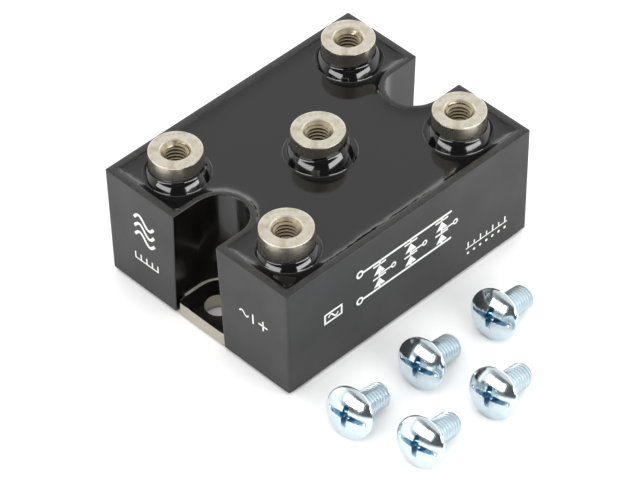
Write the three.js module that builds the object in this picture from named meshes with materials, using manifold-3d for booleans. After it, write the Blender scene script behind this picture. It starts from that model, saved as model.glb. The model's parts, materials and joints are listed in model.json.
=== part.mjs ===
// Three-phase power module of the solid state relay family, potted in a moulded housing on a
// metal base plate, with its five terminal screws lying beside it.
//
// Millimetres, +Z up. The origin is the centre of the base plate's underside. +X runs along the
// long side, +Y towards the side away from the loose screws.

import * as THREE from 'three';
import { mergeVertices } from 'three/addons/utils/BufferGeometryUtils.js';
import Module from 'manifold-3d';

const wasm = await Module();
wasm.setup();

// ---- driving dimensions ----

const FIT_GAP = 0.3; // kept between a piece and the pieces that surround it

const BODY = { length: 76.2, width: 58.4, height: 30.3, wall: 2.1, draft: 0.36, lift: 0.5 };
const RIM_Z = BODY.lift + BODY.height;

// Each short side has a U-shaped notch over a mounting hole. It widens towards the bottom.
const NOTCH = { topRadius: 6.8, bottomRadius: 7.95, straight: 7.5, wall: 1.5 };
const NOTCH_CENTRE_X = BODY.length / 2 - NOTCH.straight;

const PLATE = { length: 70.5, width: 53.4, thickness: 4, corner: 1.2 };
const LUG = { end: 37.45, width: 15, corner: 0.6 };
const MOUNTING_HOLE = { spacing: 63.5, diameter: 6.75 };

const TERMINAL_GRID = { x: 53.8, y: 35.4 };
const POST = { diameter: 12.5, top: RIM_Z + 6, bottom: 17.5, bore: 5.2, boreDepth: 13 };
const COUNTERSINK = { diameter: 6.3, depth: 1 };

const POTTING = { top: RIM_Z - 0.85, bottom: 12.5 };
const COLLAR = { diameter: 15.2, top: RIM_Z + 1.4 };

const SOLDER_THICKNESS = 0.15;
const COPPER_THICKNESS = 0.3;
const CERAMIC = { length: 38, width: 48, thickness: 0.63 };
const PAD_EDGE = 0.8; // bare ceramic left around the copper
const DIE = { side: 7, thickness: 0.35 };
const CLIP = { width: 4.5, thickness: 0.6, rise: 1.6, foot: 2.4 };
const LEAD = { width: 4, thickness: 1, foot: 2.4, crest: 16 };

const PHASE_PITCH = 11;
const RAIL = { width: 9, length: 36 }; // the two direct-current pads
const PHASE_PAD = { width: 10, length: 26 };

// M6 x 12 truss-head screws with a combined cross and slot recess
const SCREW = { thread: 6, length: 11.5, tip: 0.6, headDiameter: 12.4, headHeight: 2.75, rim: 0.8 };
const SLOT = { width: 1.35, depth: 1.3 };
const CROSS = { span: 5.6, width: 1.35, depth: 2.2 };

// The screws lie on the bench on their head's edge and the end of their thread.
const SCREW_REST = { heading: 8.3, slotTurn: 90 };
const SCREW_PLACES = [[6, -47.5], [-16.4, -46.8], [-38, -46.3], [-11.8, -64.2], [-33.4, -63.3]];

const ROUND_SEGMENTS = 32;

// ---- materials ----

function finish(color, roughness, metalness) {
  return new THREE.MeshStandardMaterial({ color, roughness, metalness });
}

const FINISH = {
  housing: finish(0x4b4b4c, 0.75, 0),
  epoxy: finish(0x1c1c1e, 0.15, 0),
  gel: finish(0xdfe6e8, 0.2, 0),
  nickel: finish(0xc8c3b7, 0.35, 1),
  copper: finish(0xb87350, 0.4, 1),
  solder: finish(0xa9abad, 0.45, 1),
  ceramic: finish(0xe9e6dd, 0.6, 0),
  silicon: finish(0x5c6068, 0.3, 0.2),
  zinc: finish(0xd6dfe4, 0.25, 1),
};

// ---- helpers ----

const HALF_TURN = Math.PI;
const radians = THREE.MathUtils.degToRad;

function solidOf(geometry) {
  const bare = geometry.index ? geometry.toNonIndexed() : geometry.clone();
  bare.deleteAttribute('normal');
  bare.deleteAttribute('uv');
  const merged = mergeVertices(bare, 1e-5);
  return new wasm.Manifold(new wasm.Mesh({
    numProp: 3,
    vertProperties: Float32Array.from(merged.attributes.position.array),
    triVerts: Uint32Array.from(merged.index.array),
  }));
}

function geometryOf(solid) {
  const mesh = solid.getMesh();
  const geometry = new THREE.BufferGeometry();
  geometry.setAttribute('position', new THREE.BufferAttribute(mesh.vertProperties, 3));
  geometry.setIndex(new THREE.BufferAttribute(mesh.triVerts, 1));
  geometry.computeVertexNormals();
  return geometry;
}

// A block whose lowest face lies at z = bottom, centred on (x, y).
function block(length, width, height, x, y, bottom) {
  return new THREE.BoxGeometry(length, width, height).translate(x, y, bottom + height / 2);
}

// A turned piece: the profile is [radius, z] points and starts and ends on the axis.
function turned(profile, x = 0, y = 0) {
  const points = profile.map(([radius, z]) => new THREE.Vector2(radius, z));
  const lathe = new THREE.LatheGeometry(points, ROUND_SEGMENTS);
  return lathe.rotateX(HALF_TURN / 2).translate(x, y, 0);
}

function rod(diameter, bottom, top, x, y) {
  const radius = diameter / 2;
  return turned([[0, bottom], [radius, bottom], [radius, top], [0, top]], x, y);
}

// An outline raised from z = bottom. Its lowest edge is drawn larger or smaller about a centre.
function raised(shape, bottom, height, lowScale = [1, 1], centre = [0, 0]) {
  const geometry = new THREE.ExtrudeGeometry(shape, {
    depth: height, bevelEnabled: false, curveSegments: ROUND_SEGMENTS / 2,
  });
  const position = geometry.attributes.position;
  for (let i = 0; i < position.count; i += 1) {
    if (position.getZ(i) < height / 2) {
      position.setX(i, centre[0] + (position.getX(i) - centre[0]) * lowScale[0]);
      position.setY(i, centre[1] + (position.getY(i) - centre[1]) * lowScale[1]);
    }
  }
  return geometry.translate(0, 0, bottom);
}

// A closed outline through [x, y, radius] corners, counter-clockwise, with round corners.
function rounded(corners) {
  const shape = new THREE.Shape();
  const reach = ([x, y, radius], [tx, ty]) => {
    const run = Math.hypot(tx - x, ty - y);
    return [x + (tx - x) * radius / run, y + (ty - y) * radius / run];
  };
  corners.forEach((corner, i) => {
    const before = corners.at(i - 1);
    const after = corners[(i + 1) % corners.length];
    const from = reach(corner, before);
    if (i) shape.lineTo(...from);
    else shape.moveTo(...from);
    if (corner[2]) shape.quadraticCurveTo(corner[0], corner[1], ...reach(corner, after));
  });
  return shape;
}

function rectangle(length, width) {
  const [x, y] = [length / 2, width / 2];
  return rounded([[x, -y, 0], [x, y, 0], [-x, y, 0], [-x, -y, 0]]);
}

// The notch as a solid, grown outwards by `grow`. side is +1 or -1, the end of the housing.
function notch(side, grow, bottom, top) {
  const widening = (NOTCH.bottomRadius - NOTCH.topRadius) / BODY.height;
  const radiusAt = (z) => NOTCH.topRadius + grow + widening * (RIM_Z - z);
  const radius = radiusAt(top);
  const past = BODY.length / 2 + 5;
  const shape = new THREE.Shape();
  shape.moveTo(past, radius);
  shape.lineTo(NOTCH_CENTRE_X, radius);
  shape.absarc(NOTCH_CENTRE_X, 0, radius, HALF_TURN / 2, HALF_TURN * 1.5, false);
  shape.lineTo(past, -radius);
  const scale = radiusAt(bottom) / radius;
  const geometry = raised(shape, bottom, top - bottom, [scale, scale], [NOTCH_CENTRE_X, 0]);
  return solidOf(side > 0 ? geometry : geometry.rotateZ(HALF_TURN));
}

function bothNotches(grow, bottom, top) {
  return notch(1, grow, bottom, top).add(notch(-1, grow, bottom, top));
}

const module = new THREE.Group();

function addMesh(group, name, geometry, material) {
  const mesh = new THREE.Mesh(geometry, material);
  mesh.name = name;
  group.add(mesh);
  return mesh;
}

// ---- net layout: where each terminal stands and where its lead comes down ----

const [GX, GY] = [TERMINAL_GRID.x / 2, TERMINAL_GRID.y / 2];
const RAIL_Y = CERAMIC.width / 2 - PAD_EDGE - RAIL.width / 2;
const PHASE_Y = 0;
const TERMINALS = {
  phase_a: { place: [-GX, GY], landing: [-13.5, 3.5] },
  phase_b: { place: [0, 0], landing: [0, 3.5] },
  phase_c: { place: [GX, -GY], landing: [13.5, 3.5] },
  positive: { place: [GX, GY], landing: [17.8, RAIL_Y] },
  negative: { place: [-GX, -GY], landing: [-17.8, -RAIL_Y] },
};

// ---- housing and base plate ----

function housingShell() {
  const [halfLength, halfWidth] = [BODY.length / 2, BODY.width / 2];
  const lowScale = [(halfLength - BODY.draft) / halfLength, (halfWidth - BODY.draft) / halfWidth];
  const outline = rectangle(BODY.length, BODY.width);
  const outer = solidOf(raised(outline, BODY.lift, BODY.height, lowScale));
  const [below, above] = [BODY.lift - 1, RIM_Z + 1];
  const inside = [BODY.length - 2 * (BODY.wall + BODY.draft), BODY.width - 2 * (BODY.wall + BODY.draft)];
  const cavity = solidOf(block(...inside, above - below, 0, 0, below))
    .subtract(bothNotches(NOTCH.wall, below - 1, above + 1));
  const plateRoom = solidOf(block(PLATE.length + 2 * FIT_GAP, PLATE.width + 2 * FIT_GAP,
    PLATE.thickness - below, 0, 0, below));
  return outer.subtract(cavity).subtract(bothNotches(0, below, above)).subtract(plateRoom);
}

// The plate ends in a lug at each notch, with the mounting hole through it.
function basePlate() {
  const [x, y, lugY] = [PLATE.length / 2, PLATE.width / 2, LUG.width / 2];
  const corners = [
    [x, -y, PLATE.corner], [x, -lugY, 0], [LUG.end, -lugY, LUG.corner], [LUG.end, lugY, LUG.corner],
    [x, lugY, 0], [x, y, PLATE.corner], [-x, y, PLATE.corner], [-x, lugY, 0],
    [-LUG.end, lugY, LUG.corner], [-LUG.end, -lugY, LUG.corner], [-x, -lugY, 0],
    [-x, -y, PLATE.corner],
  ];
  const outline = rounded(corners);
  for (const side of [-1, 1]) {
    const hole = new THREE.Path();
    hole.absarc(side * MOUNTING_HOLE.spacing / 2, 0, MOUNTING_HOLE.diameter / 2, 0, 2 * HALF_TURN);
    outline.holes.push(hole);
  }
  return raised(outline, 0, PLATE.thickness);
}

addMesh(module, 'housing_shell', geometryOf(housingShell()), FINISH.housing);
addMesh(module, 'base_plate', basePlate(), FINISH.nickel);

// ---- insulated substrate, copper pads and dies, from the plate upwards ----

const SOLDER_Z = PLATE.thickness;
const BACK_COPPER_Z = SOLDER_Z + SOLDER_THICKNESS;
const CERAMIC_Z = BACK_COPPER_Z + COPPER_THICKNESS;
const PAD_Z = CERAMIC_Z + CERAMIC.thickness;
const DIE_Z = PAD_Z + COPPER_THICKNESS;

const metallised = [CERAMIC.length - 2 * PAD_EDGE, CERAMIC.width - 2 * PAD_EDGE];
addMesh(module, 'substrate_solder', block(...metallised, SOLDER_THICKNESS, 0, 0, SOLDER_Z), FINISH.solder);
addMesh(module, 'substrate_back_copper',
  block(...metallised, COPPER_THICKNESS, 0, 0, BACK_COPPER_Z), FINISH.copper);
addMesh(module, 'ceramic_substrate',
  block(CERAMIC.length, CERAMIC.width, CERAMIC.thickness, 0, 0, CERAMIC_Z), FINISH.ceramic);

function addPad(name, length, width, x, y) {
  addMesh(module, name, block(length, width, COPPER_THICKNESS, x, y, PAD_Z), FINISH.copper);
}

addPad('copper_pad_positive', RAIL.length, RAIL.width, 0, RAIL_Y);
addPad('copper_pad_negative', RAIL.length, RAIL.width, 0, -RAIL_Y);

// A clip bridges from the top of a die to the next pad: a flat strip with two feet.
function clipProfile(span, grow) {
  const [low, high] = [-grow, DIE.thickness + CLIP.rise + grow];
  const t = CLIP.thickness;
  const step = DIE.thickness;
  const shape = new THREE.Shape();
  shape.moveTo(-CLIP.foot / 2 - grow, step + low);
  shape.lineTo(CLIP.foot / 2 + grow, step + low);
  shape.lineTo(CLIP.foot / 2 + grow, high - t - 2 * grow);
  shape.lineTo(span - CLIP.foot / 2 - grow, high - t - 2 * grow);
  shape.lineTo(span - CLIP.foot / 2 - grow, low);
  shape.lineTo(span + CLIP.foot / 2 + grow, low);
  shape.lineTo(span + CLIP.foot / 2 + grow, high);
  shape.lineTo(-CLIP.foot / 2 - grow, high);
  return shape;
}

// The clip stands over x, with its die at y = start and its far foot on the pad at y = end.
function clip(x, start, end, grow = 0) {
  const width = CLIP.width + 2 * grow;
  const geometry = new THREE.ExtrudeGeometry(clipProfile(Math.abs(end - start), grow),
    { depth: width, bevelEnabled: false });
  geometry.translate(0, 0, -width / 2).rotateX(HALF_TURN / 2);
  geometry.rotateZ(Math.sign(end - start) * HALF_TURN / 2);
  return geometry.translate(x, start, DIE_Z);
}

// A lead rises from its pad, runs level below the post and is riveted to the post's foot.
function leadProfile(run, grow) {
  const t = LEAD.thickness;
  const top = LEAD.crest + grow;
  const shape = new THREE.Shape();
  shape.moveTo(-LEAD.foot - grow, DIE_Z - grow);
  shape.lineTo(grow, DIE_Z - grow);
  shape.lineTo(grow, LEAD.crest - t - grow);
  shape.lineTo(run + LEAD.foot / 2 + grow, LEAD.crest - t - grow);
  shape.lineTo(run + LEAD.foot / 2 + grow, top);
  shape.lineTo(-t - grow, top);
  shape.lineTo(-t - grow, DIE_Z + t + grow);
  shape.lineTo(-LEAD.foot - grow, DIE_Z + t + grow);
  return shape;
}

function lead({ place, landing }, grow = 0) {
  const [dx, dy] = [place[0] - landing[0], place[1] - landing[1]];
  const width = LEAD.width + 2 * grow;
  const geometry = new THREE.ExtrudeGeometry(leadProfile(Math.hypot(dx, dy), grow),
    { depth: width, bevelEnabled: false });
  geometry.translate(0, 0, -width / 2).rotateX(HALF_TURN / 2).rotateZ(Math.atan2(dy, dx));
  return geometry.translate(landing[0], landing[1], 0);
}

const HIGH_CLIP_END = PHASE_PAD.length / 2 - 3;
const LOW_DIE_Y = -7;
const clips = [];
['phase_a', 'phase_b', 'phase_c'].forEach((phase, i) => {
  const x = (i - 1) * PHASE_PITCH;
  addPad(`copper_pad_${phase}`, PHASE_PAD.width, PHASE_PAD.length, x, PHASE_Y);
  const dies = { upper: RAIL_Y, lower: LOW_DIE_Y };
  for (const [level, y] of Object.entries(dies)) {
    addMesh(module, `${level}_die_${phase}`,
      block(DIE.side, DIE.side, DIE.thickness, x, y, DIE_Z), FINISH.silicon);
    const end = level === 'upper' ? HIGH_CLIP_END : -RAIL_Y;
    addMesh(module, `${level}_clip_${phase}`, clip(x, y, end), FINISH.copper);
    clips.push([x, y, end]);
  }
});

// ---- terminal posts and their leads ----

const CREST_CLEAR = LEAD.crest + FIT_GAP;

function post() {
  const radius = POST.diameter / 2;
  const [bore, sink] = [POST.bore / 2, COUNTERSINK.diameter / 2];
  return turned([
    [0, CREST_CLEAR], [radius - 1.4, CREST_CLEAR], [radius - 1.4, POST.bottom],
    [radius, POST.bottom], [radius, POST.top], [sink, POST.top],
    [bore, POST.top - COUNTERSINK.depth], [bore, POST.top - POST.boreDepth],
    [0, POST.top - POST.boreDepth - 1],
  ]);
}

for (const [name, terminal] of Object.entries(TERMINALS)) {
  addMesh(module, `terminal_lead_${name}`, lead(terminal), FINISH.copper);
  const mesh = addMesh(module, `terminal_post_${name}`, post(), FINISH.nickel);
  mesh.position.set(...terminal.place, 0);
}

// ---- soft gel over the dies and hard epoxy above it ----

const fillLength = BODY.length - 2 * (BODY.wall + BODY.draft + FIT_GAP);
const fillWidth = BODY.width - 2 * (BODY.wall + BODY.draft + FIT_GAP);

function fill(bottom, top) {
  return solidOf(block(fillLength, fillWidth, top - bottom, 0, 0, bottom))
    .subtract(bothNotches(NOTCH.wall + FIT_GAP, bottom - 1, top + 1));
}

function gel() {
  const floor = PLATE.thickness + FIT_GAP;
  let solid = fill(floor, POTTING.bottom - FIT_GAP);
  const tile = [CERAMIC.length + 2 * FIT_GAP, CERAMIC.width + 2 * FIT_GAP];
  const tileTop = DIE_Z + DIE.thickness + FIT_GAP;
  solid = solid.subtract(solidOf(block(...tile, tileTop - floor + 1, 0, 0, floor - 1)));
  for (const [x, y, end] of clips) solid = solid.subtract(solidOf(clip(x, y, end, FIT_GAP)));
  for (const terminal of Object.values(TERMINALS)) {
    solid = solid.subtract(solidOf(lead(terminal, FIT_GAP)));
  }
  return solid;
}

function epoxy() {
  let solid = fill(POTTING.bottom, POTTING.top);
  for (const terminal of Object.values(TERMINALS)) {
    const collar = rod(COLLAR.diameter, POTTING.top - 2, COLLAR.top, ...terminal.place);
    const room = rod(POST.diameter + 2 * FIT_GAP, CREST_CLEAR - FIT_GAP, COLLAR.top + 1, ...terminal.place);
    solid = solid.add(solidOf(collar)).subtract(solidOf(room));
    solid = solid.subtract(solidOf(lead(terminal, FIT_GAP)));
  }
  return solid;
}

addMesh(module, 'silicone_gel', geometryOf(gel()), FINISH.gel);
addMesh(module, 'epoxy_potting', geometryOf(epoxy()), FINISH.epoxy);

// ---- loose terminal screws ----

// The screw's axis is Z, with the top of its head at z = 0 and its thread below.
function screw() {
  const radius = SCREW.thread / 2;
  const head = SCREW.headDiameter / 2;
  const crown = SCREW.headHeight - SCREW.rim;
  const tipZ = -SCREW.headHeight - SCREW.length;
  const sphere = (head ** 2 + crown ** 2) / (2 * crown);
  const dome = [];
  const steps = 6;
  for (let i = 0; i < steps; i += 1) {
    const r = head * (1 - i / steps);
    dome.push([r, -sphere + Math.sqrt(sphere ** 2 - r ** 2)]);
  }
  let solid = solidOf(turned([
    [0, tipZ], [radius - SCREW.tip, tipZ], [radius, tipZ + SCREW.tip], [radius, -SCREW.headHeight],
    [head, -SCREW.headHeight], ...dome, [0, 0],
  ]));
  const cuts = [
    [SCREW.headDiameter + 2, SLOT.width, SLOT.depth],
    [CROSS.span, CROSS.width, CROSS.depth],
    [CROSS.width, CROSS.span, CROSS.depth],
  ];
  for (const [length, width, depth] of cuts) {
    solid = solid.subtract(solidOf(block(length, width, depth + 1, 0, 0, -depth)));
  }
  return geometryOf(solid);
}

const HEAD_LEVER = SCREW.length - SCREW.tip;
const SCREW_TILT = Math.atan((SCREW.headDiameter - SCREW.thread) / 2 / HEAD_LEVER);
const APEX_HEIGHT = SCREW.headHeight * Math.sin(SCREW_TILT)
  + SCREW.headDiameter / 2 * Math.cos(SCREW_TILT);

SCREW_PLACES.forEach(([x, y], i) => {
  const lying = new THREE.Group();
  lying.position.set(x, y, APEX_HEIGHT);
  lying.rotation.order = 'ZYX';
  lying.rotation.set(0, -HALF_TURN / 2 + SCREW_TILT, radians(SCREW_REST.heading));
  const mesh = addMesh(lying, `terminal_screw_${i + 1}`, screw(), FINISH.zinc);
  mesh.rotation.z = radians(SCREW_REST.slotTurn);
  module.add(lying);
});

export default module;
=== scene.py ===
"""Potted solid state relay power module with its loose terminal screws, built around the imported
CAD frame. Metres, +Z up, in the frame of the CAD."""

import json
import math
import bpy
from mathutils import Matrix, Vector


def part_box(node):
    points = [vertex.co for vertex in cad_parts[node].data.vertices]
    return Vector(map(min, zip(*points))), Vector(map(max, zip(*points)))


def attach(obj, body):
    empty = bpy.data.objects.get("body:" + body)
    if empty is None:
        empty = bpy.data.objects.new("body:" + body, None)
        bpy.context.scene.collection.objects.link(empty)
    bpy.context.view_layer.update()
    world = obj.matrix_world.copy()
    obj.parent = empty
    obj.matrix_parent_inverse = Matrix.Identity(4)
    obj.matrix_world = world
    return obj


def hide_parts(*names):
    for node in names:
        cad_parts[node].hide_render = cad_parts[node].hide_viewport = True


bl_info = {
    "name": "Solid state relay power module",
    "version": (1, 0, 0),
    "blender": (4, 5, 0),
    "location": "View3D > Sidebar > Relay",
    "description": "Builds the housing, plate, potting, terminals, screws and stage of the module",
    "category": "Add Mesh",
}

import bmesh
import bpy
import numpy as np
from mathutils import Matrix, Vector, noise
from mathutils.geometry import delaunay_2d_cdt

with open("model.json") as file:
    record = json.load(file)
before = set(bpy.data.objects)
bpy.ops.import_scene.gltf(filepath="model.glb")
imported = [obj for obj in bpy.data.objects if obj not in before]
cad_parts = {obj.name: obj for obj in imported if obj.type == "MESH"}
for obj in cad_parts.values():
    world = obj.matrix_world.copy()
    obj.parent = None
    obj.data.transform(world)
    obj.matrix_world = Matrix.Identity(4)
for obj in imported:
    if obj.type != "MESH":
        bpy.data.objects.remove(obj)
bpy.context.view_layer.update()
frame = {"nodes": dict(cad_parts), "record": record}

MM = 0.001
BODY = "module"
TERMINALS = ("phase_a", "phase_b", "phase_c", "positive", "negative")

HOUSING_LOW, HOUSING_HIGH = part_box("housing_shell")
PLATE_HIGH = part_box("base_plate")[1]

POST_LOW, POST_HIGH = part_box("terminal_post_phase_b")
EPOXY_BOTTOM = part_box("epoxy_potting")[0].z
RIM_Z = HOUSING_HIGH.z
HALF_LENGTH = HOUSING_HIGH.x
HALF_WIDTH = HOUSING_HIGH.y
LIFT = HOUSING_LOW.z
PLATE_TOP = PLATE_HIGH.z
POST_RADIUS = (POST_HIGH.x - POST_LOW.x) / 2
POST_TOP = POST_HIGH.z


def length(millimetres, label, text):
    """A size for a property group, kept in metres."""
    return bpy.props.FloatProperty(
        name=label, description=text, default=millimetres * MM, unit="LENGTH", precision=5
    )


def linear(hex_colour):
    """An sRGB hex colour as linear red, green and blue."""
    parts = [int(hex_colour[i:i + 2], 16) / 255 for i in (1, 3, 5)]
    return [p / 12.92 if p <= 0.04045 else ((p + 0.055) / 1.055) ** 2.4 for p in parts]


def paint(hex_colour, label, text):
    """A colour for a property group, given as sRGB hex."""
    return bpy.props.FloatVectorProperty(
        name=label, description=text, subtype="COLOR", size=3, min=0, max=1,
        default=linear(hex_colour),
    )


def number(default, label, text):
    """A plain number for a property group."""
    return bpy.props.FloatProperty(name=label, description=text, default=default)


# ---- sizes and colours that a user would change ----


class HousingSettings(bpy.types.PropertyGroup):
    """The moulded frame."""

    wall: length(2.1, "Wall", "Thickness of the outer walls at the rim")
    notch_wall: length(1.5, "Notch wall", "Thickness of the wall round each notch")
    draft: length(0.36, "Draft", "How far each side leans in from the rim to the bottom")
    notch_radius: length(6.8, "Notch radius", "Radius of the notch at the rim")
    notch_low_radius: length(7.95, "Notch foot radius", "Radius of the notch at the bottom")
    notch_straight: length(7.5, "Notch mouth", "Straight part of the notch before its round end")
    rim_round: length(0.28, "Rim rounding", "Radius on the rim's edges")
    corner: length(0.45, "Corner", "Radius on the four upright corners")
    outside: paint("#1c1b1b", "Outside", "Plastic of the spark-eroded outside")
    inside: paint("#080807", "Notch", "Plastic of the polished notch")
    rim: paint("#0e0e0d", "Rim", "Plastic of the rim under its film of epoxy")


class PlateSettings(bpy.types.PropertyGroup):
    """The stamped metal base plate."""

    lug_width: length(15, "Lug width", "Width of the lug in each notch")
    body_length: length(70.5, "Body length", "Length of the plate without its lugs")
    hole: length(6.75, "Hole", "Diameter of the mounting holes")
    hole_spacing: length(63.5, "Hole spacing", "Distance between the mounting holes")
    die_roll: length(0.55, "Die roll", "Rounding that stamping leaves on the lower edge")
    burr: length(0.11, "Burr", "Height of the ragged burr on the upper edge")
    metal: paint("#bfb9ac", "Nickel", "Nickel plate on the stamped plate")


class EpoxySettings(bpy.types.PropertyGroup):
    """The poured potting compound."""

    fall: length(0.85, "Fall", "How far the poured level lies below the rim")
    wall_climb: length(0.62, "Wall climb", "How far the epoxy climbs up the housing wall")
    wall_reach: length(0.8, "Wall reach", "How far from the wall the climb starts")
    skirt_share: number(1.0, "Skirt height", "Share of each skirt's usual height")
    skirt_reach: length(2.0, "Skirt reach", "How far a skirt 3.9 mm high spreads")
    colour: paint("#060607", "Epoxy", "Black potting epoxy")
    dust: paint("#454545", "Dust", "Specks of dust on the epoxy")


class TerminalSettings(bpy.types.PropertyGroup):
    """The turned terminal posts."""

    edge: length(0.22, "Edge chamfer", "Chamfer round the top face")
    sink_radius: length(3.65, "Countersink", "Radius of the countersink at the top face")
    thread_major: length(3.0, "Thread major radius", "Radius at the root of the inside thread")
    thread_minor: length(2.5, "Thread minor radius", "Radius at the crest of the inside thread")
    pitch: length(1.0, "Thread pitch", "Distance between turns")
    turns: number(9, "Turns", "Number of thread turns in the post")
    metal: paint("#cfc9bb", "Nickel", "Nickel plate on the turned brass")
    tarnish: paint("#a3977d", "Tarnish", "Yellowed patches of the nickel plate")
    # The bore colour is darker than the nickel outside: painted shade in the bore.
    bore_painted_shade: paint("#9c927b", "Bore", "Thinly plated thread inside the post")


class ScrewSettings(bpy.types.PropertyGroup):
    """The loose truss-head screws."""

    head_radius: length(6.2, "Head radius", "Radius of the head")
    head_height: length(2.75, "Head height", "Height of the head at its middle")
    head_rim: length(0.8, "Head rim", "Height of the upright edge of the head")
    shank: length(11.5, "Shank", "Length below the head")
    thread_major: length(3.0, "Thread major radius", "Radius at the crest of the thread")
    thread_minor: length(2.42, "Thread minor radius", "Radius at the root of the thread")
    pitch: length(1.0, "Thread pitch", "Distance between turns")
    slot_width: length(1.7, "Slot width", "Width of the straight slot above its deepest")
    slot_depth: length(1.35, "Slot depth", "Depth of the slot below the crown")
    cross_span: length(5.7, "Cross span", "Length of the cross recess at the surface")
    cross_width: length(1.5, "Cross width", "Width of the cross recess at the surface")
    cross_depth: length(2.2, "Cross depth", "Depth of the cross recess")
    metal: paint("#dde7eb", "Zinc", "Clear zinc plate on the screws")
    shade: paint("#bccdd5", "Zinc mottle", "Darker mottle of the zinc plate")
    # The recess colour is darker than the zinc: painted shade in the recess, over the blue of
    # pooled passivation.
    recess: paint("#6d9ab8", "Recess", "Blue passivation that pooled in the recess")


class PrintSettings(bpy.types.PropertyGroup):
    """The white pad print on the housing."""

    ink_height: length(0.02, "Ink height", "How far the ink stands above the plastic")
    ink: paint("#d9dad8", "Ink", "White pad-printing ink")
    pinhole: paint("#6d6d6d", "Pinhole", "Ink where the plastic shows through")


class StageSettings(bpy.types.PropertyGroup):
    """Floor, lights and camera."""

    floor: paint("#f4f4f4", "Floor", "White paper sweep under the object")
    box_light: number(10.0, "Softbox", "Brightness of the two front softboxes")
    sky_light: number(1.0, "Sky", "Brightness of the white room behind the object")
    backdrop: number(1.9, "Backdrop", "Brightness of the lit backdrop low behind the object")
    dark_side: number(0.12, "Dark side", "Brightness of the room on the camera's side")
    ceiling_light: number(1.0, "Ceiling", "Brightness of the broad lamp overhead")


# ---- mesh helpers ----


def wobble(x, y, z, seed):
    """Smooth repeatable noise between about -1 and 1. The place is in units of one feature."""
    return noise.noise(Vector((x + 17.3 * seed, y - 9.1 * seed, z + 3.7 * seed)))


THREAD_SEGMENTS = 72


class Skin:
    """Collects the vertices and faces of one mesh."""

    def __init__(self):
        self.points = []
        self.faces = []
        self.slots = []

    def ring(self, points):
        """Adds a closed ring of points and returns its vertex numbers."""
        start = len(self.points)
        self.points.extend(tuple(p) for p in points)
        return list(range(start, len(self.points)))

    def face(self, corners, slot=0):
        """Adds one face."""
        self.faces.append(tuple(corners))
        self.slots.append(slot)

    def bands(self, rings, slot=0):
        """Joins each ring to the next, which is as long. Faces look outwards if the rings run
        counter-clockwise seen from above, with the lowest first. slot may depend on i."""
        for low, high in zip(rings, rings[1:]):
            for i in range(len(low)):
                j = (i + 1) % len(low)
                self.face((low[i], low[j], high[j], high[i]), slot(i) if callable(slot) else slot)

    def thread(self, top, bottom, pitch, profile, trim, start, outside, slot):
        """Adds a right-hand thread whose rows follow the helix, from one flat ring to another.

        profile: (share of the pitch, radius) corners of one turn, going down.
        trim(z, radius) gives the radius near the ends, and start shifts the turns.
        Returns the first and the last ring.
        """
        rows = []
        turns = (top - bottom) / pitch + 1
        while not rows or level < turns:
            whole, corner = divmod(len(rows), len(profile))
            level = whole + profile[corner][0] - start
            row = []
            for i in range(THREAD_SEGMENTS):
                share = i / THREAD_SEGMENTS
                z = max(bottom, min(top, top - pitch * (level - share)))
                r = trim(z, profile[corner][1])
                around = 2 * math.pi * share
                row.append((r * math.cos(around), r * math.sin(around), z))
            rows.append(self.ring(row))
        for k in range(len(rows) - 1):
            for i in range(THREAD_SEGMENTS):
                if i < THREAD_SEGMENTS - 1:
                    high, low = rows[k][i + 1], rows[k + 1][i + 1]
                else:
                    high = rows[max(0, k - len(profile))][0]
                    low = rows[max(0, k + 1 - len(profile))][0]
                corners = (rows[k][i], high, low, rows[k + 1][i])
                self.face(corners[::-1] if outside else corners, slot)
        return rows[0], rows[-1]

    def cap(self, ring, centre, up, slot=0):
        """Closes a ring with a fan round a centre point."""
        middle = self.ring([centre])[0]
        for i, a in enumerate(ring):
            b = ring[(i + 1) % len(ring)]
            self.face((a, b, middle) if up else (b, a, middle), slot)

    def sheet(self, rings, loose, height, up=True, slot_of=None):
        """Fills the first ring, less the other rings, with triangles through loose points.

        rings: lists of vertex numbers, each a closed edge of the sheet.
        slot_of(x, y) gives a triangle's material slot from its middle.
        """
        edge_points, edges = [], []
        for ring in rings:
            start, count = len(edge_points), len(ring)
            edge_points.extend(ring)
            edges.extend((start + i, start + (i + 1) % count) for i in range(count))
        flat = [Vector(self.points[v][:2]) for v in edge_points]
        flat.extend(Vector(p) for p in loose)
        made, _, triangles, origin, _, _ = delaunay_2d_cdt(flat, edges, [], 0, 1e-9)
        numbers = []
        for place, sources in zip(made, origin):
            known = [s for s in sources if s < len(edge_points)]
            if known:
                numbers.append(edge_points[known[0]])
            else:
                numbers.append(self.ring([(place.x, place.y, height(place.x, place.y))])[0])
        middles = np.array([(made[a] + made[b] + made[c]) / 3 for a, b, c in triangles])
        inside = np.zeros(len(middles), int)
        for ring in rings:
            inside += winding(middles, np.array([self.points[v][:2] for v in ring]))
        for (a, b, c), middle, kept in zip(triangles, middles, inside % 2):
            if kept:
                corners = (numbers[a], numbers[b], numbers[c])
                slot = slot_of(*middle) if slot_of else 0
                self.face(corners if up else corners[::-1], slot)

    def build(self, name, materials, sharp=35, merge=0.0):
        """Makes the object, shaded smooth apart from edges sharper than sharp degrees."""
        mesh = bpy.data.meshes.new(name)
        mesh.from_pydata(self.points, [], self.faces)
        for material in materials:
            mesh.materials.append(material)
        mesh.polygons.foreach_set("material_index", self.slots)
        if merge:
            tidy(mesh, merge)
        mesh.validate(clean_customdata=False)
        mesh.shade_smooth()
        mesh.set_sharp_from_angle(angle=math.radians(sharp))
        made = bpy.data.objects.new(name, mesh)
        bpy.context.scene.collection.objects.link(made)
        return made


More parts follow.
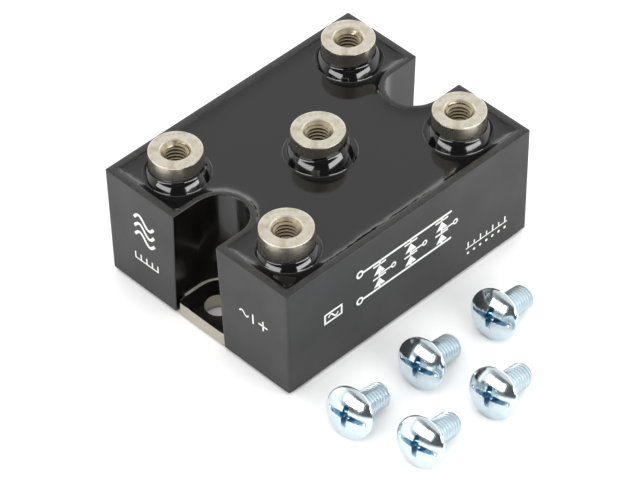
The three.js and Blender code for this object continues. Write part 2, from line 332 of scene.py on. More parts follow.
def tidy(mesh, merge):
    """Joins points that lie together and drops loose points and empty faces."""
    work = bmesh.new()
    work.from_mesh(mesh)
    bmesh.ops.remove_doubles(work, verts=work.verts, dist=merge)
    bmesh.ops.dissolve_degenerate(work, edges=work.edges, dist=merge)
    loose = [v for v in work.verts if not v.link_faces]
    bmesh.ops.delete(work, geom=loose, context="VERTS")
    work.to_mesh(mesh)
    work.free()


def winding(places, loop):
    """1 for each place that lies inside a closed loop and 0 for the rest."""
    x, y = places[:, 0], places[:, 1]
    crossings = np.zeros(len(places), int)
    for (ax, ay), (bx, by) in zip(loop, np.roll(loop, -1, axis=0)):
        if ay != by:
            spans = (ay > y) != (by > y)
            crossings += spans & (x < (bx - ax) * (y - ay) / (by - ay) + ax)
    return crossings % 2


def circle(radius, count, centre=(0, 0), turn=0.0):
    """Points on a circle, counter-clockwise."""
    steps = [2 * math.pi * (i + turn) / count for i in range(count)]
    return [(centre[0] + radius * math.cos(a), centre[1] + radius * math.sin(a)) for a in steps]


def level_ring(outline, z):
    """The points of an outline at one height."""
    return [(x, y, z) for x, y in outline]


def arc(centre, radius, start, end, count):

    """Points along an arc in degrees, both ends included."""
    angles = [math.radians(start + (end - start) * i / (count - 1)) for i in range(count)]
    return [(centre[0] + radius * math.cos(a), centre[1] + radius * math.sin(a)) for a in angles]


def line(start, end, count):
    """Points between two places, with neither end."""
    return [
        (start[0] + (end[0] - start[0]) * i / (count + 1),
         start[1] + (end[1] - start[1]) * i / (count + 1))
        for i in range(1, count + 1)
    ]


# How many points stand on each part of a notched outline.
NOTCH_STEPS, SIDE_STEPS, END_STEPS, CORNER_STEPS = 41, 44, 18, 5
# Where points stand along the straight part of a notch. Two of them hold the step in the
# housing's foot, which stands on the plate inside the plate's room.
MOUTH_PLACES = (37.4 * MM, 36.5 * MM, 35.7 * MM, 35.6 * MM, 34.3 * MM, 33.0 * MM, 31.8 * MM)


def notched_outline(half_x, half_y, radius, centre_x, corner, mouth):
    """Outline with a U-shaped notch in each short side, counter-clockwise, and for each point
    whether it lies in a notch. The number of points never changes, so outlines can be joined."""
    points, in_notch = [], []

    def add(new, inside):
        points.extend(new)
        in_notch.extend([inside] * len(new))

    straight = [min(x, half_x - mouth) for x in MOUTH_PLACES]
    x, y, ends = half_x - corner, half_y - corner, half_x - mouth
    add(line((0, -half_y), (x, -half_y), SIDE_STEPS), False)
    add(arc((x, -y), corner, -90, 0, CORNER_STEPS), False)
    add(line((half_x, -y), (half_x, -radius - mouth), END_STEPS), False)
    add(arc((ends, -radius - mouth), mouth, 0, 90, CORNER_STEPS), True)
    add([(x, -radius) for x in straight], True)
    add(arc((centre_x, 0), radius, 270, 90, NOTCH_STEPS), True)
    add([(x, radius) for x in reversed(straight)], True)
    add(arc((ends, radius + mouth), mouth, 270, 360, CORNER_STEPS), True)
    add(line((half_x, radius + mouth), (half_x, y), END_STEPS), False)
    add(arc((x, y), corner, 0, 90, CORNER_STEPS), False)
    add(line((x, half_y), (0, half_y), SIDE_STEPS) + [(0, half_y)], False)
    points.extend([(-x, -y) for x, y in points])
    return points, in_notch * 2


def notch_centre_x(housing):
    """Where the round end of the right notch has its centre."""
    return HALF_LENGTH - housing.notch_straight


def notch_radius_at(housing, z):
    """Radius of the notch at a height."""
    slope = (housing.notch_low_radius - housing.notch_radius) / (RIM_Z - LIFT)
    return housing.notch_radius + slope * (RIM_Z - z)


def lean_at(housing, z):
    """How far the drafted sides stand in from the rim's size at a height."""
    return housing.draft * (RIM_Z - z) / (RIM_Z - LIFT)


def terminal_places():
    """The middle of each terminal post."""
    places = {}
    for name in TERMINALS:
        low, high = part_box("terminal_post_" + name)
        places[name] = ((low.x + high.x) / 2, (low.y + high.y) / 2)
    return places


def seat(piece, body, slot, *nodes):
    """Rides a new piece on a body and hides the nodes it stands for; the slot is not used."""
    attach(piece, body)
    if nodes:
        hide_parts(*nodes)


# ---- material helpers ----


def add_node(tree, kind, sockets=None, **settings):
    """Adds a node, sets its properties, and gives each input socket a value or a link."""
    node = tree.nodes.new(kind)
    for key, value in settings.items():
        setattr(node, key, value)
    for key, value in (sockets or {}).items():
        if isinstance(value, bpy.types.NodeSocket):
            tree.links.new(value, node.inputs[key])
        else:
            node.inputs[key].default_value = value
    return node


def per(size_mm):
    """Texture scale for features of a size in millimetres."""
    return 1000.0 / size_mm


def rgba(colour, factor=1.0):
    """A colour with alpha, made lighter or darker."""
    return (*[min(1.0, c * factor) for c in colour], 1.0)


def finish(name, patterns, colours, gloss=None, bump=None, extra=None, **surface):
    """A material whose colour, gloss and bump follow patterns of noise.

    patterns: name: (size in millimetres, detail, roughness[, stretch]) of each noise.
    colours: the ground colour, then (strength, colour) for each layer over it.
    gloss: the strength that gives the roughness.
    bump: (pattern, strength, height in millimetres).
    extra(tree, place, made): gives more patterns by name.
    surface: values of the shader's constant sockets.
    A strength is a pattern's name, or (name, from low, from high, to low, to high).
    """
    material = bpy.data.materials.new(name)
    material.use_nodes = True
    tree = material.node_tree
    shader = tree.nodes["Principled BSDF"]
    for socket, value in surface.items():
        shader.inputs[socket.replace("_", " ")].default_value = value
    place = add_node(tree, "ShaderNodeTexCoord").outputs["Object"]
    made = {}
    for key, (size_mm, detail, roughness, *stretch) in patterns.items():
        where = place
        for scale in stretch:
            where = add_node(tree, "ShaderNodeMapping", {0: place, "Scale": scale}).outputs[0]
        made[key] = add_node(tree, "ShaderNodeTexNoise", {
            "Vector": where, "Scale": per(size_mm), "Detail": detail, "Roughness": roughness,
        }).outputs["Fac"]
    if extra:
        made.update(extra(tree, place, made))

    def level(strength):
        if isinstance(strength, str):
            return made[strength]
        values = {0: made[strength[0]], **dict(enumerate(strength[1:], 1))}
        return add_node(tree, "ShaderNodeMapRange", values).outputs[0]

    ground, *layers = colours
    for strength, colour in layers:
        ground = add_node(tree, "ShaderNodeMix", {0: level(strength), 6: ground, 7: colour},
                          data_type="RGBA").outputs[2]
    tree.links.new(ground, shader.inputs["Base Color"])
    if gloss:
        tree.links.new(level(gloss), shader.inputs["Roughness"])
    if bump:
        raised = add_node(tree, "ShaderNodeBump", {
            "Height": made[bump[0]], "Strength": bump[1], "Distance": bump[2] * MM})
        tree.links.new(raised.outputs[0], shader.inputs["Normal"])
    return material


def spark_eroded_plastic(housing):
    """Glass-filled polyester, moulded in a spark-eroded tool: a fine matte grain that breaks up
    the light, slightly greyer where the skin of the moulding is rubbed."""
    return finish(
        "polyester_spark_eroded",
        # The real grain is about 0.05 mm; 0.22 mm is the finest that still shows.
        {"grain": (0.22, 3, 0.6), "cloud": (9, 3, 0.5), "rub": (1.6, 6, 0.7)},
        [rgba(housing.outside, 0.82), ("cloud", rgba(housing.outside, 1.16)),
         (("rub", 0.62, 0.78, 0, 0.35), rgba(housing.outside, 1.9))],
        ("cloud", 0.3, 0.7, 0.5, 0.62), ("grain", 0.55, 0.06), IOR=1.57)


def core_polished_plastic(housing):
    """The same polyester moulded against the polished steel core of the notch: almost black and
    glossy, with faint upright draw marks from the core."""
    return finish(
        "polyester_core_polished",
        {"draw": (0.5, 3, 0.5, (1, 1, 0.04)), "cloud": (4, 4, 0.5)},
        [rgba(housing.inside, 0.7), ("draw", rgba(housing.inside, 1.5))],
        ("cloud", 0.3, 0.7, 0.12, 0.22), ("draw", 0.25, 0.03), IOR=1.57)


def wetted_plastic(housing):
    """The rim's polyester, wiped with a film of epoxy: darker and smoother than the grained
    outside, in smears."""
    return finish(
        "polyester_epoxy_wetted", {"smear": (2.4, 5, 0.65), "grain": (0.3, 3, 0.6)},
        [rgba(housing.rim, 0.55), ("smear", rgba(housing.rim, 1.5))],
        ("smear", 0.35, 0.62, 0.2, 0.42), ("grain", 0.35, 0.05), IOR=1.57)


def poured_epoxy(epoxy):
    """Black potting epoxy, poured and cured level: a wet-looking black gloss that mirrors the
    room, softened a little by dust and by the slight orange peel of the cure."""
    return finish(
        "epoxy_poured", {"peel": (3.2, 1, 0.5), "dust": (0.5, 5, 0.75), "film": (14, 4, 0.5)},
        [rgba(epoxy.colour), (("dust", 0.68, 0.82, 0, 0.5), rgba(epoxy.dust))],
        ("film", 0.3, 0.7, 0.045, 0.13), ("peel", 0.12, 0.08), IOR=1.55)


def stamped_nickel(plate):
    """Nickel plate over stamped copper: a warm satin metal, its faces with the fine lines of the
    rolled strip, its sheared edges with upright score marks from the die."""

    def marks(tree, place, made):
        """Rolling lines where the surface lies flat, and scores where it stands."""
        normal = add_node(tree, "ShaderNodeNewGeometry").outputs["Normal"]
        upright = add_node(tree, "ShaderNodeSeparateXYZ", {0: normal}).outputs[2]
        flat = add_node(tree, "ShaderNodeMath", {0: upright}, operation="ABSOLUTE").outputs[0]
        return {"marks": add_node(tree, "ShaderNodeMix", {
            0: flat, 2: made["scored"], 3: made["rolled"]}, data_type="FLOAT").outputs[0]}

    return finish(
        "nickel_plated_stamping",
        # Rolling lines are about 0.02 mm apart and die scores 0.05 mm; both are drawn wider to
        # show.
        {"rolled": (0.25, 3, 0.5, (0.05, 1, 1)), "scored": (0.4, 4, 0.5, (1, 1, 0.06)),
         "stain": (5, 5, 0.65)},
        [rgba(plate.metal, 0.72), ("stain", rgba(plate.metal, 1.12))],
        ("stain", 0.3, 0.7, 0.14, 0.26), ("marks", 0.4, 0.05), marks, Metallic=1)


WAVES_PER_UNIT = 20  # how many rings the wave texture draws in one unit at a scale of 1


def turned_nickel(name, light, stained, gloss_range):

    """Nickel plate over turned brass: a satin metal with concentric tool marks on its top face,
    rings round its side, and a slightly yellow tarnish in patches."""

    def tooled(tree, place, made):
        """Tool marks, broken up by the fine grain of the plate."""
        # The tool feeds about 0.1 mm a turn; 0.24 mm is the finest spacing that shows.
        rings = add_node(tree, "ShaderNodeTexWave", {
            "Vector": place, "Scale": per(0.24) / WAVES_PER_UNIT, "Distortion": 1.2, "Detail": 2,
            "Detail Scale": 2}, wave_type="RINGS", rings_direction="SPHERICAL")
        return {"tooled": add_node(tree, "ShaderNodeMix", {
            0: 0.55, 2: rings.outputs["Fac"], 3: made["fine"]}, data_type="FLOAT").outputs[0]}

    return finish(
        name, {"mottle": (2.2, 5, 0.65), "fine": (0.35, 4, 0.7)},
        [rgba(light), (("mottle", 0.42, 0.72, 0, 0.75), rgba(stained))],
        ("mottle", 0.3, 0.7, *gloss_range), ("tooled", 0.35, 0.015), tooled, Metallic=1)


def bright_zinc(name, dark, light, gloss_range):
    """Steel screws with a bright clear zinc plate: a cold mirror on the smooth head, duller on
    the rolled thread, with a mottled passivation. The recess is darker and bluer: partly the
    passivation that pooled there, partly painted shade in the recess."""
    return finish(
        name, {"mottle": (1.8, 4, 0.6), "fine": (0.3, 4, 0.7)},
        [rgba(dark), ("mottle", rgba(light))],
        ("mottle", 0.3, 0.7, *gloss_range), ("fine", 0.3, 0.03), Metallic=1)


def pad_ink(printing):
    """White two-part ink, pad printed: a thin, slightly rubbery white with pinholes where the
    plastic's grain shows through."""
    return finish(
        "ink_pad_printed", {"holes": (0.3, 4, 0.7)},
        [rgba(printing.ink), (("holes", 0.6, 0.75, 0, 0.6), rgba(printing.pinhole))],
        bump=("holes", 0.3, 0.03), IOR=1.5, Roughness=0.55)


def plain_material(name, dark, light, size_mm, gloss_range, bump_mm, **surface):
    """A material for a piece that is hardly seen: two shades in a mottle of one size, with its
    gloss and bump from the same pattern."""
    return finish(
        name, {"mottle": (size_mm, 5, 0.6)},
        [rgba(linear(dark)), ("mottle", rgba(linear(light)))],
        ("mottle", 0.3, 0.7, *gloss_range), ("mottle", 0.4, bump_mm), **surface)


# ---- housing ----

MOUTH_ROUND = 0.3 * MM  # radius where the notch opens in the end face
FOOT_CHAMFER = 0.4 * MM
INNER_ROUND = 0.42 * MM  # radius on the rim's inner edge, which the epoxy wets
INNER_CORNERS = (0.9 * MM, 0.6 * MM)  # radii of the room's corners and of the notch walls' ends
ROOM_HEIGHT = 6 * MM  # height of the room for the plate, which is wider than the rest
ROOM_PLAY = 0.3 * MM
TOUCH = 0.02 * MM  # kept between surfaces that rest on each other
WALL_ROWS = (0.0132, 0.18, 0.34, 0.5, 0.66, 0.83)  # shares of the height
RIM_SUPPORT = 0.2 * MM  # how far below the rim's rounding a row keeps the wall's shading flat
QUARTER = (0, 22.5, 45, 67.5, 90)


def outer_outline(housing, z, inset=0.0):
    """The drafted outside of the housing at a height."""
    lean = lean_at(housing, z) + inset
    return notched_outline(HALF_LENGTH - lean, HALF_WIDTH - lean,
                           notch_radius_at(housing, z) + inset, notch_centre_x(housing),
                           housing.corner, MOUTH_ROUND)


def inner_outline(housing, outwards=0.0):
    """The inside of the housing's walls below the rim, moved into the walls by outwards."""
    wall = housing.wall - outwards
    radius = housing.notch_radius + housing.notch_wall - outwards
    return notched_outline(HALF_LENGTH - wall, HALF_WIDTH - wall, radius,
                           notch_centre_x(housing), *INNER_CORNERS)[0]


class RELAY_OT_housing(bpy.types.Operator):
    """Mould the notched housing"""

    bl_idname = "relay.housing"
    bl_label = "Housing"

    def execute(self, context):
        housing = context.scene.relay_housing
        rim_points, in_notch = outer_outline(housing, RIM_Z)
        room_x = HALF_LENGTH - housing.wall - housing.draft
        stands = [inside and abs(x) < room_x for (x, _), inside in zip(rim_points, in_notch)]
        on_plate = PLATE_TOP + TOUCH

        def lifted(points, z):
            """Raises the points that stand on the plate."""
            return [(x, y, max(z, on_plate) if up else z)
                    for (x, y), up in zip(points, stands)]

        def rounding(radius, turns, outline):
            """Rows round one edge of the rim. outline(z, inset) gives each row's points."""
            made = []
            for turn in turns:
                a = math.radians(turn)
                z = RIM_Z - radius + radius * math.sin(a)
                made.append(level_ring(outline(z, radius * (1 - math.cos(a))), z))
            return made

        rows = [lifted(outer_outline(housing, LIFT, FOOT_CHAMFER)[0], LIFT)]
        for share in WALL_ROWS:
            z = LIFT + (RIM_Z - LIFT) * share
            rows.append(lifted(outer_outline(housing, z)[0], z))
        z = RIM_Z - housing.rim_round - RIM_SUPPORT
        rows.append(level_ring(outer_outline(housing, z)[0], z))
        rows += rounding(housing.rim_round, QUARTER,
                         lambda z, inset: outer_outline(housing, z, inset)[0])
        film_start = len(rows) - 3
        rows += rounding(INNER_ROUND, QUARTER[::-1], lambda z, inset: inner_outline(housing, inset))
        foot = notched_outline(room_x, PLATE_HIGH.y + ROOM_PLAY,
                               notch_radius_at(housing, LIFT) + housing.notch_wall,
                               notch_centre_x(housing), *INNER_CORNERS)[0]
        rows += [lifted(foot, on_plate + ROOM_HEIGHT), lifted(foot, LIFT)]

        skin = Skin()
        rings = [skin.ring(row) for row in rows]
        skin.bands(rings[:film_start + 1],
                   lambda i: int(in_notch[i] and in_notch[(i + 1) % len(in_notch)]))
        skin.bands([*rings[film_start:], rings[0]], 2)
        piece = skin.build(
            "housing", [spark_eroded_plastic(housing), core_polished_plastic(housing),
                        wetted_plastic(housing)],
            sharp=32, merge=0.001 * MM)
        seat(piece, BODY, "housing_plastic", "housing_shell")
        return {"FINISHED"}


# ---- base plate ----

PLATE_CORNER, LUG_CORNER, LUG_ROOT = 1.2 * MM, 1.0 * MM, 0.35 * MM
SHEARED_TO = 0.62  # share of the plate's thickness that is sheared smooth, with a torn part above
BURR_WIDTH = 0.13 * MM


def rounded_corners(corners, step):
    """A closed counter-clockwise outline through (x, y, radius) corners, with evenly spread
    points about a step apart."""
    path = []
    for i, (x, y, radius) in enumerate(corners):
        before, after = corners[i - 1], corners[(i + 1) % len(corners)]
        here = Vector((x, y))
        a = here + (Vector(before[:2]) - here).normalized() * radius
        b = here + (Vector(after[:2]) - here).normalized() * radius
        path.extend(a * (1 - t) ** 2 + here * 2 * t * (1 - t) + b * t * t
                    for t in (k / 5 for k in range(6)))
    spread = []
    for a, b in zip(path, [*path[1:], path[0]]):
        parts = max(1, round((b - a).length / step))
        spread.extend(a.lerp(b, k / parts) for k in range(parts))
    return spread


def grown(loop, distance):
    """A closed counter-clockwise outline moved outwards by a distance."""
    moved = []
    for i, p in enumerate(loop):
        before, after = loop[i - 1], loop[(i + 1) % len(loop)]
        one, two = (p - before).normalized(), (after - p).normalized()
        normal = Vector((one.y + two.y, -one.x - two.x)) / 2
        normal /= max(0.5, normal.length_squared)
        moved.append(p + normal * distance)
    return moved


class RELAY_OT_base_plate(bpy.types.Operator):
    """Stamp the nickel-plated base plate"""

    bl_idname = "relay.base_plate"
    bl_label = "Base plate"

    def execute(self, context):
        plate = context.scene.relay_plate
        x, y = plate.body_length / 2, PLATE_HIGH.y
        lug_x, lug_y = PLATE_HIGH.x, plate.lug_width / 2
        right = [(x, -y, PLATE_CORNER), (x, -lug_y, LUG_ROOT), (lug_x, -lug_y, LUG_CORNER),
                 (lug_x, lug_y, LUG_CORNER), (x, lug_y, LUG_ROOT), (x, y, PLATE_CORNER)]
        left = [(-x, -y, radius) for x, y, radius in right]
        outline = rounded_corners(right + left, 0.6 * MM)
        skin = Skin()

        def edge_rings(loop, sign, burr):
            """Rings up one sheared edge: rolled foot, smooth shear, torn top and burr."""
            rows = []
            for turn in (0, 30, 60, 90):
                a = math.radians(turn)
                inset = plate.die_roll * (1 - math.sin(a))
                rows.append([(p.x, p.y, plate.die_roll * (1 - math.cos(a)))
                             for p in grown(loop, -sign * inset)])
            rows.append(level_ring(loop, SHEARED_TO * PLATE_TOP))
            torn, crest = [], []
            for p, q in zip(loop, grown(loop, -sign * 0.07 * MM)):
                t = 0.5 + 0.5 * wobble(p.x / (1.1 * MM), p.y / (1.1 * MM), 0, 3)
                torn.append((*p.lerp(q, t), (0.7 + 0.06 * t) * PLATE_TOP))
                flare = max(0.0, wobble(p.x / (0.9 * MM), p.y / (0.9 * MM), 1, 5))
                crest.append((p.x, p.y, PLATE_TOP + burr * (0.25 + 1.6 * flare)))
            rows += [torn, crest, level_ring(grown(loop, -sign * BURR_WIDTH), PLATE_TOP)]
            return [skin.ring(row) for row in rows]

        edges = [edge_rings(outline, 1, plate.burr)]
        skin.bands(edges[0])
        centres = [(side * plate.hole_spacing / 2, 0) for side in (-1, 1)]
        for centre in centres:
            loop = [Vector(p) for p in circle(plate.hole / 2, 64, centre)]
            edges.append(edge_rings(loop, -1, plate.burr * 0.3))
            skin.bands(edges[-1][::-1])
        grid = [(i * 5 * MM, j * 5 * MM) for i in range(-6, 7) for j in range(-5, 6)]
        loose = [p for p in grid if all(math.dist(p, c) > 5 * MM for c in centres)]
        skin.sheet([rings[-1] for rings in edges], loose, lambda *_: PLATE_TOP)
        skin.sheet([rings[0] for rings in edges], loose, lambda *_: 0.0, up=False)
        piece = skin.build("plate", [stamped_nickel(plate)], sharp=30)
        seat(piece, BODY, "plate_nickel", "base_plate")
        return {"FINISHED"}


BEAD_SIZE = 0.34 * MM
BEAD_STEP = 0.4 * MM
BEAD_ROOT = -0.12 * MM  # how far the bead reaches into the notch wall
FILLING_TOP = 3.4 * MM  # above the housing's foot, so that the filling's top is hidden
FILLING_STEP = 0.8 * MM


class RELAY_OT_bond_line(bpy.types.Operator):
    """Lay the adhesive that holds the housing on the plate"""

    bl_idname = "relay.bond_line"
    bl_label = "Bond line"

    def execute(self, context):
        housing = context.scene.relay_housing
        plate = context.scene.relay_plate
        skin = Skin()

        def strip(path, section):
            """Runs a closed section along an open path. section(place) gives its corners as
            distances to the right of the path and heights."""
            rings = []
            for i, p in enumerate(path):
                ahead = path[min(i + 1, len(path) - 1)] - path[max(i - 1, 0)]
                ahead.normalize()
                rings.append(skin.ring([(p.x + ahead.y * out, p.y - ahead.x * out, z)
                                        for out, z in section(p)]))
            skin.bands(rings)
            skin.face(rings[0][::-1])
            skin.face(rings[-1])

        def bead(p):
            """A squeezed-out bead in the corner between the notch wall and the plate."""
            size = BEAD_SIZE * (1 + 0.55 * wobble(p.x / (1.6 * MM), p.y / (1.6 * MM), 0, 7))
            steps = [(BEAD_ROOT, -0.01 * MM), (size, -0.01 * MM), (size * 0.9, size * 0.35),
                     (size * 0.5, size * 0.72), (0.02 * MM, size), (BEAD_ROOT, size)]
            return [(out, PLATE_TOP + up) for out, up in steps]

        radius = notch_radius_at(housing, PLATE_TOP)
        centre_x = notch_centre_x(housing)
        lug_end = PLATE_HIGH.x - 0.5 * MM
        mouth = [lug_end - k * BEAD_STEP for k in range(int((lug_end - centre_x) / BEAD_STEP))]
        path = ([(x, -radius) for x in mouth] + arc((centre_x, 0), radius, 270, 90, 60)
                + [(x, radius) for x in reversed(mouth)])
        on_plate = [Vector(p) for p in path
                    if abs(p[1]) < plate.lug_width / 2 - 0.1 * MM
                    or abs(p[0]) < plate.body_length / 2 - 0.2 * MM]
        for turn in (1, -1):
            strip([p * turn for p in on_plate], bead)

        def filling(p):
            """Adhesive between the plate's edge and the housing wall, sunk below the foot."""
            low = 0.95 * MM + 0.16 * MM * wobble(p.x / (2 * MM), p.y / (2 * MM), 0, 9)
            near, far = 0.01 * MM, 0.5 * MM
            return [(near, FILLING_TOP), (near, low + 0.1 * MM), (0.2 * MM, low),
                    (far, low + 0.1 * MM), (far, FILLING_TOP)]

        x, y, lug_y = plate.body_length / 2, PLATE_HIGH.y, plate.lug_width / 2 + 0.6 * MM
        corners = [Vector(p) for p in ((-x, -lug_y), (-x, -y), (x, -y), (x, -lug_y))]
        path = []
        for a, b in zip(corners, corners[1:]):
            parts = round((b - a).length / FILLING_STEP)
            path += [a.lerp(b, k / parts) for k in range(parts)]
        path.append(corners[-1])
        for turn in (1, -1):
            strip([p * turn for p in path], filling)
        # Filled silicone adhesive, squeezed out and cured: a dull, off-white, waxy bead.
        adhesive = plain_material("silicone_adhesive_cured", "#8f8b82", "#cfcbc1", 0.8,
                                  (0.45, 0.65), 0.04, IOR=1.43)
        seat(skin.build("bond_line", [adhesive], sharp=50), BODY, "gel")
        return {"FINISHED"}


# ---- potting ----

# For each terminal: the skirt's height in millimetres, which way it climbs highest, in degrees,
# and by what share of its height.
SKIRTS = {"phase_a": (2.95, 316, 0.13), "phase_b": (4.5, 350, 0.26), "phase_c": (3.4, 100, 0.1),
          "positive": (3.3, 345, 0.12), "negative": (2.15, 330, 0.3)}
FULL_SKIRT = 3.9 * MM  # the height that skirt_reach belongs to
SKIRT_TOE = 0.1 * MM  # how softly the skirt runs out into the level
FILM = 0.07 * MM  # thickness of the film that creeps up the post
SKIRT_RINGS = (0.0, 0.02, 0.05, 0.09, 0.16, 0.25, 0.35, 0.45, 0.55, 0.65, 0.74, 0.82, 0.89,
               0.95, 1.0, 1.05, 1.12, 1.2)  # shares of the skirt's reach
COLLAR_SEGMENTS = 96
COLLAR_RADIUS = POST_RADIUS - 0.03 * MM
WALL_RINGS = (0.06, 0.14, 0.24, 0.38)  # millimetres from the wall
OPEN_STEPS = (0.6, 0.85, 1.2, 1.7, 2.4)  # the same, where only loose points are needed
WALL_BLEND = 0.45 * MM  # how far the climbs of two walls blend where they meet
GRID = 1.5 * MM


def single(skin, ring):
    """The vertices of a ring without those that repeat the place before them."""
    places = [skin.points[v] for v in ring]
    return [v for v, here, before in zip(ring, places, [places[-1], *places])
            if math.dist(here, before) > 0.002 * MM]


class RELAY_OT_potting(bpy.types.Operator):
    """Pour the epoxy, which climbs up the walls and the terminals"""

    bl_idname = "relay.potting"
    bl_label = "Potting"

    def execute(self, context):
        scene = context.scene
        housing, epoxy = scene.relay_housing, scene.relay_epoxy
        places = terminal_places()
        half_x, half_y = HALF_LENGTH - housing.wall, HALF_WIDTH - housing.wall
        notch_r = housing.notch_radius + housing.notch_wall
        centre_x = notch_centre_x(housing)

        def from_wall(x, y):
            """Distance to the nearest wall, rounded off where two walls meet."""
            ax, ay = abs(x), abs(y)
            to_notch = ay - notch_r if ax > centre_x else math.hypot(ax - centre_x, ay) - notch_r
            near = [max(0.0, d) for d in (half_x - ax, half_y - ay, to_notch)]
            return max(0.0, -WALL_BLEND * math.log(sum(math.exp(-d / WALL_BLEND) for d in near)))

        def skirt(name, around):
            """Height and reach of a terminal's skirt in one direction."""
            rise, highest, share = SKIRTS[name]
            px, py = places[name]
            tall = epoxy.skirt_share * rise * MM * (
                1 + share * math.cos(around - math.radians(highest))
                + 0.03 * wobble(2 * math.cos(around), 2 * math.sin(around), px * 90, 4))
            reach = epoxy.skirt_reach * (tall / FULL_SKIRT) ** 0.75 * (
                1 + 0.05 * wobble(1.3 * math.cos(around), 1.3 * math.sin(around), py * 90, 8))
            return tall, reach

        def height(x, y):
            """The poured level, with its climb up the walls and its skirts round the posts."""
            z = RIM_Z - epoxy.fall + 0.035 * MM * wobble(x / (16 * MM), y / (16 * MM), 0, 1)
            ragged = wobble(x / (2.3 * MM), y / (2.3 * MM), 0, 2)
            ragged += 0.5 * wobble(x / (0.9 * MM), y / (0.9 * MM), 0, 6)
            climb = epoxy.wall_climb * (1 + 0.3 * ragged)
            z += climb * math.exp(-from_wall(x, y) / epoxy.wall_reach)
            for name, (px, py) in places.items():
                away = math.hypot(x - px, y - py) - POST_RADIUS
                if away > 6 * MM:
                    continue
                tall, reach = skirt(name, math.atan2(y - py, x - px))
                out = max(0.0, away) / reach
                lean = tall * (0.82 - 0.82 * (0.48 * out + 0.52 * out * out))
                cone = SKIRT_TOE * math.log1p(math.exp(lean / SKIRT_TOE)) if out < 1.6 else 0.0
                z += cone + 0.18 * tall * math.exp(-max(0.0, away) / FILM)
            return z

        def poured(outline):
            return [(x, y, height(x, y)) for x, y in outline]

        skin = Skin()
        edge = []
        on_rim = inner_outline(housing, INNER_ROUND)
        for a, b in zip(inner_outline(housing, TOUCH), on_rim):
            z = min(height(*a), RIM_Z - 0.01 * MM)
            over = max(0.0, (z - (RIM_Z - INNER_ROUND)) / INNER_ROUND)
            t = 1 - math.sqrt(max(0.0, 1 - over * over))
            edge.append((a[0] + (b[0] - a[0]) * t, a[1] + (b[1] - a[1]) * t, z + TOUCH))
        outer = skin.ring(edge)
        low_edge = skin.ring([(x, y, EPOXY_BOTTOM) for x, y, _ in edge])
        walls = [low_edge, outer] + [skin.ring(poured(inner_outline(housing, -step * MM)))
                                     for step in WALL_RINGS]
        skin.bands(walls)

        top_rings, low_rings, loose = [single(skin, walls[-1])], [single(skin, low_edge)], []
        for name, (px, py) in places.items():
            rings = []
            for step in SKIRT_RINGS:
                collar = []
                for i in range(COLLAR_SEGMENTS):
                    around = 2 * math.pi * i / COLLAR_SEGMENTS
                    r = COLLAR_RADIUS + step * skirt(name, around)[1]
                    collar.append((px + r * math.cos(around), py + r * math.sin(around)))
                rings.append(skin.ring(poured(collar)))
            low = skin.ring(level_ring(circle(COLLAR_RADIUS, COLLAR_SEGMENTS, (px, py)),
                                       EPOXY_BOTTOM))
            skin.bands([*rings[::-1], low])
            top_rings.append(rings[-1])
            low_rings.append(low)
            for step, turn in ((3.5, 0.0), (4.5, 0.5)):
                ring = circle(POST_RADIUS + step * MM, 64, (px, py), turn)
                loose.extend(p for p in ring if from_wall(*p) > 0.8 * MM)

        def clear(p, distance):
            """Whether a place is at least a distance away from every post."""
            return all(math.dist(p, c) > POST_RADIUS + distance for c in places.values())

        for step in OPEN_STEPS:
            loose.extend(p for p in inner_outline(housing, -step * MM) if clear(p, 2.3 * MM))
        for i in range(-24, 25):
            for j in range(-18, 19):
                p = ((i + 0.5 * (j % 2)) * GRID, j * GRID)
                inside = abs(p[0]) < half_x and abs(p[1]) < half_y
                if inside and clear(p, 4.8 * MM) and from_wall(*p) > 2.6 * MM:
                    loose.append(p)

        skin.sheet(top_rings, loose, height)
        skin.sheet(low_rings, [], lambda *_: EPOXY_BOTTOM, up=False)
        piece = skin.build("potting", [poured_epoxy(epoxy)], sharp=60, merge=0.001 * MM)
        seat(piece, BODY, "epoxy", "epoxy_potting")
        return {"FINISHED"}


# ---- terminals ----

BAR_CHAMFER = 0.5 * MM  # at the foot of the post
EDGE_SUPPORT = 0.3 * MM  # how far below the top chamfer a row keeps the side's shading flat
FACE_SUPPORT = 0.1 * MM  # the same beside the edges of the top face
BORE_BELOW = 3.2 * MM  # depth of the drilled hole below its thread
DRILL_POINT = 1.2 * MM


